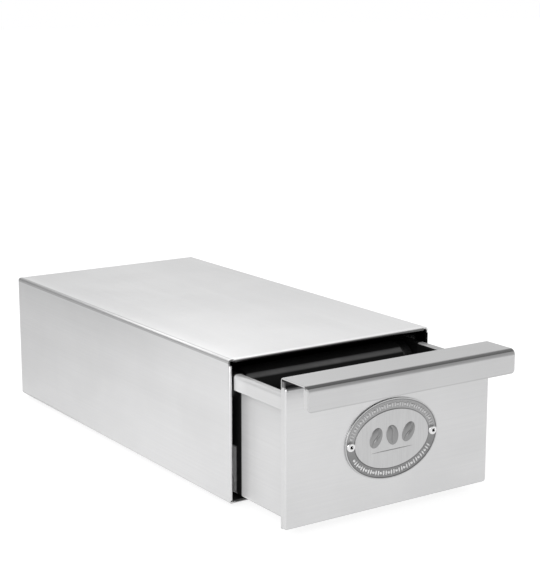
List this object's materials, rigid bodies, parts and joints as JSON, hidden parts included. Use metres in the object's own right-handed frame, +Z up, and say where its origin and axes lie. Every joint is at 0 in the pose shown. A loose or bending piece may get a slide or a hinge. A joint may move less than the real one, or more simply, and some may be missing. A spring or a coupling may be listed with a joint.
{
  "type": "coffee knock drawer",
  "caption": "Low brushed-steel cabinet with a sliding drawer for spent coffee, a rubber-covered knock bar across it and a folded full-width handle.",
  "frame": {"origin": "on the table, under the middle of the whole object with the drawer part way open", "axes": "+X to the right as seen from the front, +Y to the back, +Z up; the drawer opens along -Y"},
  "size_m": [0.165, 0.4088, 0.1022],
  "materials": {
    "shell_steel": "fine straight-brushed stainless, light satin",
    "panel_steel": "fine satin stainless, brushed across",
    "tub_steel": "fine satin stainless",
    "plate_steel": "plain mill-finish sheet",
    "rail_steel": "plain mill-finish sheet",
    "liner_plastic": "off-white slippery plastic",
    "black_rubber": "soft matte black rubber",
    "bar_steel": "turned steel",
    "fastener_steel": "bright plated screws and nuts",
    "rivet_metal": "dull rivets",
    "badge_metal": "oval plate, grey border, brushed middle"
  },
  "bodies": {
    "cabinet": {"cabinet_shell": "shell_steel", "base_plate": "plate_steel", "back_panel": "shell_steel", "back_screws": "fastener_steel", "base_rivets": "rivet_metal", "rail_left": "rail_steel", "rail_right": "rail_steel", "rail_liner_left": "liner_plastic", "rail_liner_right": "liner_plastic", "stop_bracket": "rail_steel", "bumper_left": "black_rubber", "bumper_right": "black_rubber", "foot_front_left": "black_rubber", "foot_front_right": "black_rubber", "foot_back_left": "black_rubber", "foot_back_right": "black_rubber"},
    "drawer": {"drawer_tub": "tub_steel", "front_panel": "panel_steel", "front_cover": "panel_steel", "panel_studs": "fastener_steel", "panel_nuts": "fastener_steel", "knock_rod": "bar_steel", "knock_sleeve": "black_rubber", "collar_left": "bar_steel", "collar_right": "bar_steel", "bar_bolts": "fastener_steel", "badge_plate": "badge_metal", "badge_screws": "fastener_steel", "badge_nuts": "fastener_steel", "stop_lug": "rail_steel", "lug_rivets": "rivet_metal", "stop_buffer": "black_rubber"}
  },
  "joints": [
    {"name": "drawer_slide", "type": "slide", "parent": "cabinet", "child": "drawer", "axis": [0, -1, 0], "range_m": [-0.0579, 0.1571]}
  ]
}
